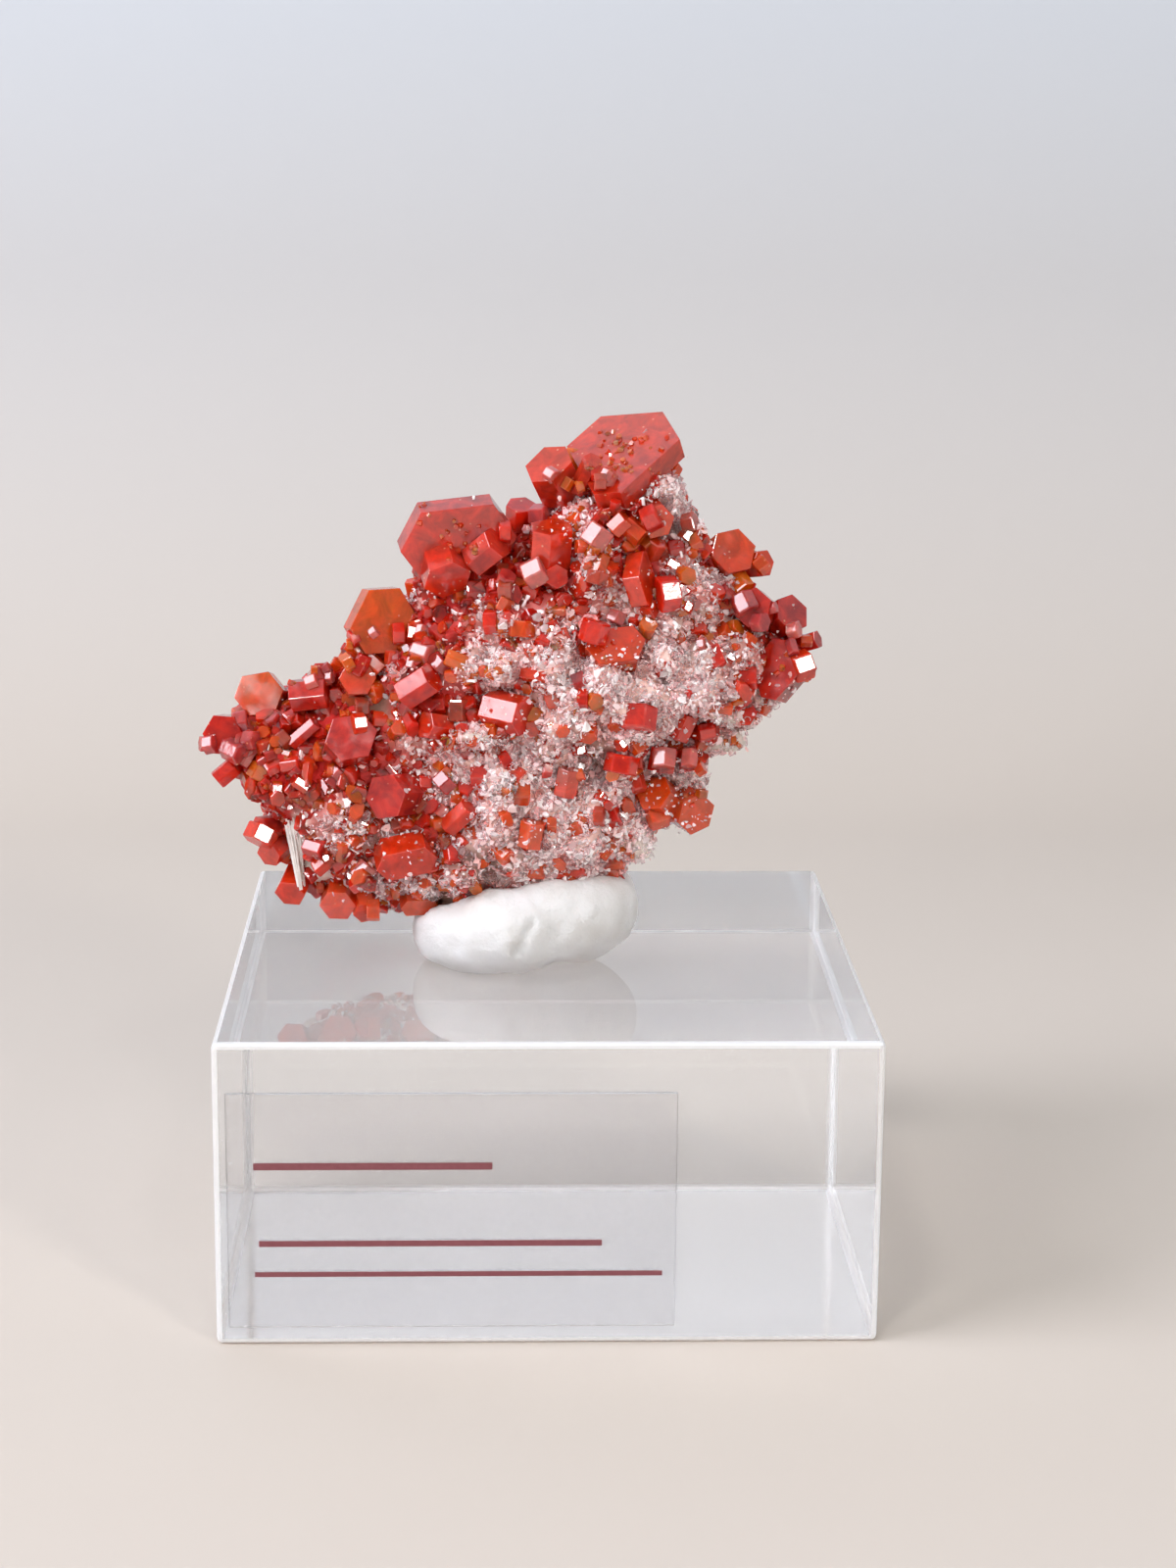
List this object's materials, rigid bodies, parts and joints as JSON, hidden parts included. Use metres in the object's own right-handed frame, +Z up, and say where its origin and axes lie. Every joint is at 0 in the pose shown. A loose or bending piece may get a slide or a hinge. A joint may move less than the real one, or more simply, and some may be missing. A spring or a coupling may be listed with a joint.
{
  "type": "vanadinite on matrix on a display block",
  "caption": "Red hexagonal vanadinite crystals on pale matrix, set upright in white putty on a clear square acrylic display block.",
  "frame": {"origin": "centre of the display block's underside, on the surface it stands on", "axes": "+X to the right and +Y to the back as seen from the labelled front, +Z up"},
  "size_m": [0.0473, 0.0452, 0.061],
  "materials": {
    "amber_crystal": "translucent vanadinite, bright resinous natural faces",
    "centre_crystal": "translucent vanadinite, bright resinous natural faces",
    "crown_twin_crystal": "translucent vanadinite, bright resinous natural faces",
    "display_block": "clear cast acrylic, faces and edges polished",
    "foot_corner_crystal": "translucent vanadinite, bright resinous natural faces",
    "foot_left_crystal": "translucent vanadinite, bright resinous natural faces",
    "foot_salmon_crystal": "translucent vanadinite, bright resinous natural faces",
    "foot_slab_crystal": "translucent vanadinite, bright resinous natural faces",
    "label_film": "clear self-adhesive film, smooth",
    "leaning_crystal": "translucent vanadinite, bright resinous natural faces",
    "left_middle_crystal": "translucent vanadinite, bright resinous natural faces",
    "left_mirror_crystal": "translucent vanadinite, bright resinous natural faces",
    "left_pink_hexagon": "translucent vanadinite, bright resinous natural faces",
    "left_upper_crystal": "translucent vanadinite, bright resinous natural faces",
    "lower_centre_crystal": "translucent vanadinite, bright resinous natural faces",
    "lower_right_crystal": "translucent vanadinite, bright resinous natural faces",
    "matrix_rock": "rough broken rock, white to tan",
    "mounting_putty": "white mineral putty, kneaded, matt",
    "pink_rod_crystal": "translucent vanadinite, bright resinous natural faces",
    "rhomb_crystal": "translucent vanadinite, bright resinous natural faces",
    "ridge_crystal": "translucent vanadinite, bright resinous natural faces",
    "right_block_crystal": "translucent vanadinite, bright resinous natural faces",
    "right_dark_crystal": "translucent vanadinite, bright resinous natural faces",
    "right_edge_crystal": "translucent vanadinite, bright resinous natural faces",
    "right_middle_crystal": "translucent vanadinite, bright resinous natural faces",
    "right_tip_crystal": "translucent vanadinite, bright resinous natural faces",
    "round_crystal": "translucent vanadinite, bright resinous natural faces",
    "shoulder_crystal": "translucent vanadinite, bright resinous natural faces",
    "summit_crystal": "translucent vanadinite, bright resinous natural faces",
    "upper_middle_crystal": "translucent vanadinite, bright resinous natural faces",
    "upper_right_crystal": "translucent vanadinite, bright resinous natural faces",
    "upright_rod_crystal": "translucent vanadinite, bright resinous natural faces",
    "vanadinite_crust": "small red crystals under glassy colourless druse",
    "wing_amber_crystal": "translucent vanadinite, bright resinous natural faces",
    "wing_block_crystal": "translucent vanadinite, bright resinous natural faces",
    "wing_hexagon_crystal": "translucent vanadinite, bright resinous natural faces",
    "wing_tip_crystal": "translucent vanadinite, bright resinous natural faces"
  },
  "bodies": {
    "root": {"amber_crystal": "amber_crystal", "centre_crystal": "centre_crystal", "crown_twin_crystal": "crown_twin_crystal", "display_block": "display_block", "foot_corner_crystal": "foot_corner_crystal", "foot_left_crystal": "foot_left_crystal", "foot_salmon_crystal": "foot_salmon_crystal", "foot_slab_crystal": "foot_slab_crystal", "label_film": "label_film", "leaning_crystal": "leaning_crystal", "left_middle_crystal": "left_middle_crystal", "left_mirror_crystal": "left_mirror_crystal", "left_pink_hexagon": "left_pink_hexagon", "left_upper_crystal": "left_upper_crystal", "lower_centre_crystal": "lower_centre_crystal", "lower_right_crystal": "lower_right_crystal", "matrix_rock": "matrix_rock", "mounting_putty": "mounting_putty", "pink_rod_crystal": "pink_rod_crystal", "rhomb_crystal": "rhomb_crystal", "ridge_crystal": "ridge_crystal", "right_block_crystal": "right_block_crystal", "right_dark_crystal": "right_dark_crystal", "right_edge_crystal": "right_edge_crystal", "right_middle_crystal": "right_middle_crystal", "right_tip_crystal": "right_tip_crystal", "round_crystal": "round_crystal", "shoulder_crystal": "shoulder_crystal", "summit_crystal": "summit_crystal", "upper_middle_crystal": "upper_middle_crystal", "upper_right_crystal": "upper_right_crystal", "upright_rod_crystal": "upright_rod_crystal", "vanadinite_crust": "vanadinite_crust", "wing_amber_crystal": "wing_amber_crystal", "wing_block_crystal": "wing_block_crystal", "wing_hexagon_crystal": "wing_hexagon_crystal", "wing_tip_crystal": "wing_tip_crystal"}
  },
  "joints": []
}
